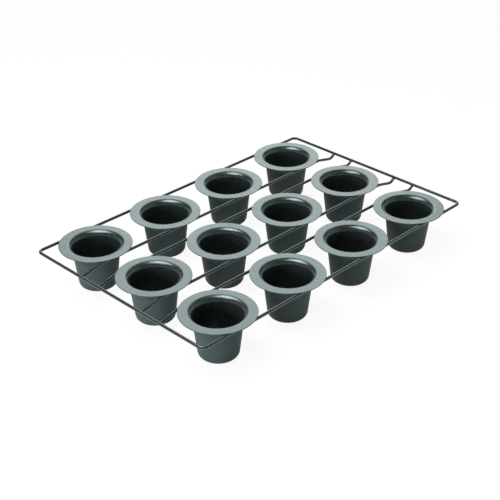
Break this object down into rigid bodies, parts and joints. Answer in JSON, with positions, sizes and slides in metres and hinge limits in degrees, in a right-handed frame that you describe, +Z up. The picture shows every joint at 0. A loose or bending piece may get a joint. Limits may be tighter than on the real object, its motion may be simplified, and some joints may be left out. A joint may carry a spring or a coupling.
{
  "type": "popover pan",
  "caption": "Deep tapered cups with flat round flanges, hung in rows from a welded rectangular wire frame with cross-running support wires.",
  "frame": {"origin": "on the surface that the cups stand on, under the middle of the pan", "axes": "+Z up along the cups' axes; +X along the rows of four cups, the pan's length; +Y across the three rows"},
  "size_m": [0.4, 0.2666, 0.05],
  "materials": {
    "cup_coating": "satin",
    "wire_coating": "satin"
  },
  "bodies": {
    "root": {"frame_wire": "wire_coating", "front_row_support_wire": "wire_coating", "middle_row_front_support_wire": "wire_coating", "middle_row_back_support_wire": "wire_coating", "back_row_support_wire": "wire_coating", "cup_front_1": "cup_coating", "cup_front_2": "cup_coating", "cup_front_3": "cup_coating", "cup_front_4": "cup_coating", "cup_middle_1": "cup_coating", "cup_middle_2": "cup_coating", "cup_middle_3": "cup_coating", "cup_middle_4": "cup_coating", "cup_back_1": "cup_coating", "cup_back_2": "cup_coating", "cup_back_3": "cup_coating", "cup_back_4": "cup_coating"}
  },
  "joints": []
}
